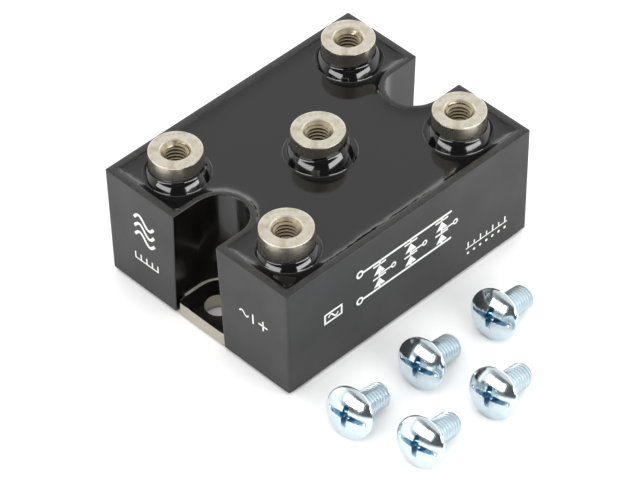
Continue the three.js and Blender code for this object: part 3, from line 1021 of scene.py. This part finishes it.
class RELAY_OT_terminals(bpy.types.Operator):
    """Turn the five threaded terminal posts"""

    bl_idname = "relay.terminals"
    bl_label = "Terminals"

    def execute(self, context):
        terminal = context.scene.relay_terminal
        # The thread takes the darker bore colour, which paints the shade in the bore.
        metals = [turned_nickel("nickel_plated_" + made, metal, terminal.tarnish, gloss_range)
                  for made, metal, gloss_range in (
                      ("facing", terminal.metal, (0.28, 0.4)),
                      ("turning", terminal.metal, (0.24, 0.34)),
                      ("thread", terminal.bore_painted_shade, (0.3, 0.42)))]
        edge, sink, minor = terminal.edge, terminal.sink_radius, terminal.thread_minor
        bottom = POST_LOW.z
        turned = [
            (POST_RADIUS - BAR_CHAMFER, bottom), (POST_RADIUS, bottom + BAR_CHAMFER),
            (POST_RADIUS, POST_TOP - edge - EDGE_SUPPORT), (POST_RADIUS, POST_TOP - edge),
            (POST_RADIUS - edge * 0.35, POST_TOP - edge * 0.3), (POST_RADIUS - edge, POST_TOP),
            (POST_RADIUS - edge - FACE_SUPPORT, POST_TOP), (sink + FACE_SUPPORT, POST_TOP),
            (sink, POST_TOP),
        ]
        thread_top = POST_TOP - 0.25 * MM
        thread_end = thread_top - terminal.turns * terminal.pitch
        profile = [(0.0, minor), (0.2, minor), (0.48, terminal.thread_major),
                   (0.66, terminal.thread_major)]

        def trim(z, radius):
            """Opens the thread into the countersink, and closes it at its end."""
            return minor if z == thread_end else max(radius, sink - (POST_TOP - z))

        for number, (name, place) in enumerate(terminal_places().items()):
            skin = Skin()
            rows = [skin.ring(level_ring(circle(r, THREAD_SEGMENTS), z)) for r, z in turned]
            first, last = skin.thread(thread_top, thread_end, terminal.pitch, profile, trim,
                                      number * 0.37 % 1, outside=False, slot=2)
            skin.bands(rows[:4], 1)
            skin.bands([*rows[3:], first])
            end = skin.ring(level_ring(circle(minor, THREAD_SEGMENTS), thread_end - BORE_BELOW))
            skin.bands([last, end], 2)
            skin.cap(end, (0, 0, thread_end - BORE_BELOW - DRILL_POINT), True, 2)
            skin.cap(rows[0], (0, 0, bottom), False, 1)
            post = skin.build("post_" + name, metals, sharp=38, merge=0.001 * MM)
            post.location = (*place, 0)
            seat(post, BODY, "post_nickel", "terminal_post_" + name)
        return {"FINISHED"}


# ---- screws ----

SCREW_HEADING = 8.3  # degrees; the way that the loose screws point
SCREW_SLOT_TURN = 90
RECESS_BANK = 0.1 * MM  # how far a recess wall leans over its height
SLOT_FLOOR = 0.28 * MM  # half the width of the slot's bottom, between its sloping sides
RECESS_SHADE = 0.12 * MM  # depth below the crown from which the recess's metal is used


class RELAY_OT_screws(bpy.types.Operator):
    """Head and thread the five loose screws"""

    bl_idname = "relay.screws"
    bl_label = "Screws"

    def execute(self, context):
        screw = context.scene.relay_screw
        # The recess material is darker than the head: painted shade in the recess, with the blue of
        # pooled passivation.
        metals = [bright_zinc("zinc_plated_heading", screw.shade, screw.metal, (0.08, 0.16)),
                  bright_zinc("zinc_plated_recess", screw.recess, screw.shade, (0.12, 0.24)),
                  bright_zinc("zinc_plated_rolling", screw.shade, screw.metal, (0.28, 0.4))]
        # The screw lies on its head's rim and on the end of its thread.
        tilt = math.atan((screw.head_radius - screw.thread_major) / (screw.shank - 0.6 * MM))
        turn = (Matrix.Rotation(math.radians(SCREW_HEADING), 4, "Z")
                @ Matrix.Rotation(tilt - math.pi / 2, 4, "Y")
                @ Matrix.Rotation(math.radians(SCREW_SLOT_TURN), 4, "Z"))
        for number in range(1, 6):
            piece = self.one_screw(screw, metals, number)
            low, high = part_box(f"terminal_screw_{number}")
            placed = np.array([(turn @ v.co)[:] for v in piece.data.vertices])
            centre = (placed.min(0) + placed.max(0)) / 2
            piece.data.transform(turn)
            piece.location = ((low.x + high.x) / 2 - centre[0], (low.y + high.y) / 2 - centre[1],
                              low.z - placed[:, 2].min())
            seat(piece, f"screw_{number}", "zinc", f"terminal_screw_{number}")
        return {"FINISHED"}

    def one_screw(self, screw, metals, number):
        """A truss-head screw with its crown at the origin and its thread down -Z."""
        skin = Skin()
        head, rim_top = screw.head_radius, screw.head_height - screw.head_rim
        sphere = (head ** 2 + rim_top ** 2) / (2 * rim_top)
        dome_edge = head - 0.22 * MM

        def crown(x, y):
            return -sphere + math.sqrt(max(0.0, sphere ** 2 - x * x - y * y))

        def height(x, y):
            """The crown, cut by the slot with its sloping sides and by the tapered cross."""
            top = crown(x, y)
            rise = max(0.0, abs(y) - SLOT_FLOOR) / (screw.slot_width / 2 - SLOT_FLOOR)
            z = min(top, screw.slot_depth * (rise - 1))
            reach = screw.cross_span / 2
            for across, along in ((y, x), (x, y)):
                wide = screw.cross_width * (1 - 0.25 * abs(along) / reach)
                side = (wide / 2 - abs(across)) / RECESS_BANK
                end = (reach - abs(along)) / (0.5 * reach)
                cut = -screw.cross_depth * max(0.0, min(1.0, side, end))
                if cut < 0:
                    z = min(z, top * (1 + cut / screw.cross_depth) + cut)
            return z

        rim = skin.ring([(x, y, crown(x, y)) for x, y in circle(dome_edge, THREAD_SEGMENTS)])
        # Lines of points along every edge of the recess, and between them.
        keys = {0.0, SLOT_FLOOR, -SLOT_FLOOR}
        for half in (screw.slot_width / 2, screw.cross_width / 2, screw.cross_span / 2):
            keys |= {half, half - RECESS_BANK, -half, RECESS_BANK - half}
        spread = {round(k * 0.3, 3) * MM for k in range(-21, 22)}
        lines = sorted(keys | {s for s in spread
                               if all(abs(s - k) > 0.09 * MM for k in keys)})
        loose = [(x, y) for x in lines for y in lines
                 if math.hypot(x, y) < dome_edge - 0.2 * MM]
        # Faces sunk deeper than RECESS_SHADE take the darker recess metal, which paints the shade
        # in the recess.
        skin.sheet([rim], loose, height,
                   slot_of=lambda x, y: int(height(x, y) < crown(x, y) - RECESS_SHADE))

        foot = -screw.head_height
        major, minor = screw.thread_major, screw.thread_minor
        plain = minor + 0.3 * MM
        start, tip = foot - 0.5 * MM, foot - screw.shank
        turned = [
            (head - 0.07 * MM, -rim_top - 0.02 * MM), (head, -rim_top - 0.14 * MM),
            (head, foot + 0.16 * MM), (head - 0.06 * MM, foot + 0.04 * MM), (head - 0.2 * MM, foot),
            (major + 0.5 * MM, foot), (major + 0.12 * MM, foot - 0.1 * MM),
            (plain, foot - 0.4 * MM),
        ]

        def trim(z, radius):
            """Lets the thread run out under the head, and chamfers its end."""
            blend = min(1.0, (start - z) / (0.7 * MM))
            point = minor - 0.15 * MM + (z - tip) * 1.1
            return min(plain + (radius - plain) * blend, point)

        rows = [rim] + [skin.ring(level_ring(circle(r, THREAD_SEGMENTS), z)) for r, z in turned]
        profile = [(0.0, major), (0.16, major), (0.46, minor), (0.7, minor)]
        first, last = skin.thread(start, tip, screw.pitch, profile, trim, number * 0.21 % 1,
                                  outside=True, slot=2)
        skin.bands([first, *rows[::-1]])
        skin.cap(last, (0, 0, tip - 0.02 * MM), False, 2)
        return skin.build(f"screw_{number}", metals, sharp=34, merge=0.001 * MM)


# ---- print ----


class Drawing:
    """Flat ink shapes laid on a face of the housing. Places on the face are in millimetres."""

    def __init__(self, lay, ink_height):
        self.skin = Skin()
        self.lay = lay
        self.ink_height = ink_height

    def patch(self, outline, hole=None):
        """A filled outline, counter-clockwise, or the ring between it and a like hole."""
        skin = self.skin
        over, under = [
            [skin.ring([self.lay(u, z, out) for u, z in loop]) for loop in (outline, hole) if loop]
            for out in (self.ink_height, -self.ink_height)]
        if hole:
            skin.bands([under[0], over[0], over[1], under[1], under[0]])
        else:
            skin.bands([under[0], over[0]])
            skin.face(over[0])
            skin.face(under[0][::-1])

    def stroke(self, start, end, width=0.45):
        """A straight line of ink with square ends."""
        a, b = Vector(start), Vector(end)
        along = (b - a).normalized()
        side = Vector((along.y, -along.x)) * width / 2
        along *= width / 2
        self.patch([tuple(p) for p in (a - along + side, b + along + side,
                                       b + along - side, a - along - side)])

    def ring(self, centre, radius, width=0.45):
        """A circle drawn with a line."""
        self.patch(circle(radius + width / 2, 32, centre), circle(radius - width / 2, 32, centre))

    def wave(self, centre, size=1.6, width=0.4):
        """One period of a sine wave, the sign for alternating current."""
        upper, lower = [], []
        for k in range(15):
            turn = 2 * math.pi * (k / 14)
            u = centre[0] + (k / 14 - 0.5) * 2 * size
            z = centre[1] + 0.45 * size * math.sin(turn)
            slope = Vector((1, 0.45 * math.pi * math.cos(turn))).normalized()
            upper.append((u - slope.y * width / 2, z + slope.x * width / 2))
            lower.append((u + slope.y * width / 2, z - slope.x * width / 2))
        self.patch(lower + upper[::-1])


def draw_bridge(pen, left, right, low, high):
    """The circuit of a three-phase bridge: two rails and three pairs of diodes."""
    bold = 0.6
    for rail in (low, high):
        pen.stroke((left + 2.3, rail), (right - 2, rail), bold)
        pen.ring((left + 1.1, rail), 0.85, 0.5)
    middle = (low + high) / 2
    width = 1.75
    for k in range(3):
        u = left + 7.2 + k * (right - left - 12) / 2
        for base in (low + 0.75, middle + 0.5):
            pen.patch([(u - width, base), (u + width, base), (u, base + 2.3)])
            pen.stroke((u - width, base + 2.65), (u + width, base + 2.65), 0.5)
        for start, end in ((low + 0.3, low + 0.7), (middle - 0.4, middle + 0.45),
                           (middle + 3.3, high - 0.3)):
            pen.stroke((u, start), (u, end), bold)
        pen.stroke((u + 0.6, middle), (u + 3.6, middle))
        pen.ring((u + 4.4, middle), 0.6, 0.4)


def draw_long_side_signs(pen):
    """A wave in a box, and a row of ticks over a row of dots."""
    pen.patch([(-26.9, 14.5), (-21.3, 14.5), (-21.3, 17.6), (-26.9, 17.6)],
              [(-26.4, 15.0), (-21.8, 15.0), (-21.8, 17.1), (-26.4, 17.1)])
    pen.wave((-24.1, 16.05), 1.5)
    for k in range(7):
        u = 18.6 + k * 2.0
        pen.stroke((u, 7.4), (u, 8.8 - 0.5 * (k % 2)), 0.4)
        pen.patch(circle(0.38, 20, (u, 5.6)))
    pen.stroke((18.0, 7.2), (31.2, 7.2), 0.3)


def draw_end_face_signs(pen):
    """Three stacked waves over a scale, and the signs for alternating current, minus and plus."""
    for k in range(3):
        pen.wave((-17.0, 17.0 + k * 2.6), 3.2, 0.75)
    pen.stroke((-20.6, 9.4), (-13.2, 9.4), 0.35)
    for k in range(5):
        pen.stroke((-20.6 + k * 1.85, 9.8), (-20.6 + k * 1.85, 11.0), 0.4)
    pen.wave((15.2, 16.6), 1.4)
    for start, end in (((18.0, 15.4), (18.0, 17.8)), ((20.0, 16.6), (22.4, 16.6)),
                       ((21.2, 15.4), (21.2, 17.8))):
        pen.stroke(start, end)


class RELAY_OT_printing(bpy.types.Operator):
    """Print the circuit diagram and symbols on the housing"""

    bl_idname = "relay.printing"
    bl_label = "Print"

    def execute(self, context):
        scene = context.scene
        housing, printing = scene.relay_housing, scene.relay_print
        ink = pad_ink(printing)

        def on_long_side(u, z, out):
            return (u * MM, -(HALF_WIDTH - lean_at(housing, z * MM)) - out, z * MM)

        def on_end_face(u, z, out):
            return (-(HALF_LENGTH - lean_at(housing, z * MM)) - out, -u * MM, z * MM)

        long_side = Drawing(on_long_side, printing.ink_height)
        draw_bridge(long_side, -17.0, 14.6, 14.4, 22.6)
        draw_long_side_signs(long_side)
        end_face = Drawing(on_end_face, printing.ink_height)
        draw_end_face_signs(end_face)
        for name, pen in (("print_long_side", long_side), ("print_end_face", end_face)):
            seat(pen.skin.build(name, [ink], sharp=30), BODY, "housing_plastic")
        return {"FINISHED"}


# ---- pieces inside the potting ----


class RELAY_OT_inside(bpy.types.Operator):
    """Finish the substrate, dies, clips, leads and gel inside the potting"""

    bl_idname = "relay.inside"
    bl_label = "Inside"

    def execute(self, context):
        finishes = {
            # Rolled copper, bright from the plating line: a pink metal, faintly mottled.
            "copper": plain_material("copper_rolled", "#a9694a", "#d08a66", 1.2, (0.25, 0.4),
                                     0.01, Metallic=1),
            # Tin solder, reflowed: a grey satin metal with frosty grains.
            "solder": plain_material("tin_solder_reflowed", "#8f9296", "#bcbfc2", 0.7,
                                     (0.35, 0.5), 0.02, Metallic=1),
            # Alumina, fired: an eggshell white ceramic.
            "ceramic": plain_material("alumina_fired", "#ddd8cc", "#efebe2", 0.5, (0.5, 0.65),
                                      0.01, IOR=1.76),
            # Silicon, polished: a dark blue-grey mirror.
            "silicon": plain_material("silicon_polished", "#3d4248", "#5a6068", 2, (0.1, 0.2),
                                      0.005, IOR=3.4),
            # Silicone gel, poured and cured soft: clear, wet and faintly blue.
            "gel": plain_material("silicone_gel_clear", "#cdd8dc", "#e6edf0", 4, (0.05, 0.12),
                                  0.02, IOR=1.41, Transmission_Weight=0.5),
        }
        slots = {s["node"]: s["material_slot"] for s in frame["record"]["subparts"]}
        for node, thing in frame["nodes"].items():
            if slots.get(node) in finishes:
                thing.data.materials.clear()
                thing.data.materials.append(finishes[slots[node]])
        return {"FINISHED"}


# ---- stage ----

CAMERA_AZIMUTH, CAMERA_ELEVATION, CAMERA_ROLL = -43.52, 43.642, -1.159  # degrees
CAMERA_DISTANCE, CAMERA_SIDEWAYS, CAMERA_UPWARDS = 0.87193, -0.000117, 0.00165  # metres
CAMERA_LENS = 213.96  # millimetres, with a sensor 36 mm wide
FLOOR_DROP = 0.05 * MM  # how far the floor lies below the object
FLOOR_RADIUS = 4.0


def towards(azimuth, elevation):
    """Unit vector from the object to a place seen at an azimuth and elevation in degrees."""
    a, e = math.radians(azimuth), math.radians(elevation)
    return Vector((math.sin(a) * math.cos(e), -math.cos(a) * math.cos(e), math.sin(e)))


class RELAY_OT_stage(bpy.types.Operator):
    """Lay the floor and set the lights and the camera"""

    bl_idname = "relay.stage"
    bl_label = "Stage"

    def execute(self, context):
        scene = context.scene
        stage = scene.relay_stage
        self.floor(stage)
        self.room(scene, stage)
        for side, share in ((-49, 0.8), (49, 1.0)):
            # An upright softbox beside the camera.
            away = towards(CAMERA_AZIMUTH + side, 22)
            lamp = self.lamp("softbox", (0.64, 0.2), share * stage.box_light, away * 0.75)
            lamp.rotation_euler = away.to_track_quat("Z", "Y").to_euler()
        # A broad lamp overhead that lights the floor but is too high to be mirrored.
        lamp = self.lamp("ceiling", (3.0, 3.0), stage.ceiling_light, (0, 0, 2.5))
        lamp.visible_glossy = False
        self.camera(scene)
        scene.view_settings.view_transform = "Standard"
        return {"FINISHED"}

    def floor(self, stage):
        """A wide disc of white paper just below the object."""
        skin = Skin()
        rings = [skin.ring(level_ring(circle(r, 96), -FLOOR_DROP))
                 for r in (0.1, 0.4, 1.2, FLOOR_RADIUS)]
        under = skin.ring(level_ring(circle(FLOOR_RADIUS, 96), -2 * MM))
        skin.bands(rings[::-1])
        skin.cap(rings[0], (0, 0, -FLOOR_DROP), True)
        skin.bands([under, rings[-1]])
        skin.face(under[::-1])
        # White seamless paper, matte: an even pale ground.
        paper = finish("paper_white_seamless", {"fibre": (3, 2, 0.5)},
                       [rgba(stage.floor, 0.99), ("fibre", rgba(stage.floor, 1.01))],
                       Roughness=0.9)
        skin.build("floor", [paper])

    def room(self, scene, stage):
        """A white room with a lit backdrop, dark low down on the camera's side."""
        world = bpy.data.worlds.new("room")
        world.use_nodes = True
        tree = world.node_tree
        direction = add_node(tree, "ShaderNodeTexCoord").outputs["Generated"]
        facing = add_node(tree, "ShaderNodeVectorMath", {
            0: direction, 1: towards(CAMERA_AZIMUTH, 0)}, operation="DOT_PRODUCT")
        height = add_node(tree, "ShaderNodeSeparateXYZ", {0: direction}).outputs[2]
        behind, near, low = [
            add_node(tree, "ShaderNodeMapRange", dict(enumerate(values)),
                     interpolation_type="SMOOTHSTEP").outputs[0]
            for values in (
                (height, 0.42, 0.6, stage.backdrop, stage.sky_light),
                (facing.outputs["Value"], -0.3, 0.55, 0.0, 1.0),
                (height, 0.6, 0.76, 1.0, 0.0))]
        dark = add_node(tree, "ShaderNodeMath", {0: near, 1: low}, operation="MULTIPLY")
        level = add_node(tree, "ShaderNodeMix", {
            0: dark.outputs[0], 2: behind, 3: stage.dark_side}, data_type="FLOAT")
        background = tree.nodes["Background"]
        background.inputs[0].default_value = (1, 1, 1, 1)
        tree.links.new(level.outputs[0], background.inputs[1])
        scene.world = world

    def lamp(self, name, size, brightness, place):
        """A rectangular lamp of a size and brightness at a place, facing down."""
        light = bpy.data.lights.new(name, "AREA")
        light.shape = "RECTANGLE"
        light.size, light.size_y = size
        light.energy = brightness * math.pi * light.size * light.size_y
        lamp = bpy.data.objects.new(name, light)
        lamp.location = place
        bpy.context.scene.collection.objects.link(lamp)
        return lamp

    def camera(self, scene):
        """A long lens from the front left, above the rim."""
        a, roll = math.radians(CAMERA_AZIMUTH), math.radians(CAMERA_ROLL)
        back = towards(CAMERA_AZIMUTH, CAMERA_ELEVATION)
        level = Vector((math.cos(a), math.sin(a), 0))
        upright = back.cross(level)
        right = level * math.cos(roll) + upright * math.sin(roll)
        up = upright * math.cos(roll) - level * math.sin(roll)
        lens = bpy.data.cameras.new("camera")
        lens.lens, lens.sensor_width = CAMERA_LENS, 36
        lens.clip_start, lens.clip_end = 0.05, 20
        viewer = bpy.data.objects.new("camera", lens)
        place = (right * CAMERA_SIDEWAYS + up * CAMERA_UPWARDS + back * CAMERA_DISTANCE
                 + Vector((0, 0, LIFT)))
        turn = Matrix((right, up, back)).transposed().to_4x4()
        viewer.matrix_world = Matrix.Translation(place) @ turn
        scene.collection.objects.link(viewer)
        scene.camera = viewer


class RELAY_PT_build(bpy.types.Panel):
    """Lists the pieces in the order they are built"""

    bl_idname = "RELAY_PT_build"
    bl_label = "Solid state relay"
    bl_space_type = "VIEW_3D"
    bl_region_type = "UI"
    bl_category = "Relay"

    def draw(self, context):
        for operator in OPERATORS:
            self.layout.operator(operator.bl_idname)


OPERATORS = (
    RELAY_OT_housing, RELAY_OT_base_plate, RELAY_OT_bond_line, RELAY_OT_potting,
    RELAY_OT_terminals, RELAY_OT_screws, RELAY_OT_printing, RELAY_OT_inside, RELAY_OT_stage,
)
SETTINGS = {
    "relay_housing": HousingSettings, "relay_plate": PlateSettings,
    "relay_epoxy": EpoxySettings, "relay_terminal": TerminalSettings,
    "relay_screw": ScrewSettings, "relay_print": PrintSettings, "relay_stage": StageSettings,
}


def register():
    for kind in (*SETTINGS.values(), *OPERATORS, RELAY_PT_build):
        bpy.utils.register_class(kind)
    for name, kind in SETTINGS.items():
        setattr(bpy.types.Scene, name, bpy.props.PointerProperty(type=kind))


def unregister():
    for name in SETTINGS:
        delattr(bpy.types.Scene, name)
    for kind in (RELAY_PT_build, *reversed(OPERATORS), *reversed(SETTINGS.values())):
        bpy.utils.unregister_class(kind)


def main():
    """Builds every piece in order."""
    register()
    bpy.ops.relay.housing()
    bpy.ops.relay.base_plate()
    bpy.ops.relay.bond_line()
    bpy.ops.relay.potting()
    bpy.ops.relay.terminals()
    bpy.ops.relay.screws()
    bpy.ops.relay.printing()
    bpy.ops.relay.inside()
    bpy.ops.relay.stage()


if __name__ == "__main__":
    main()
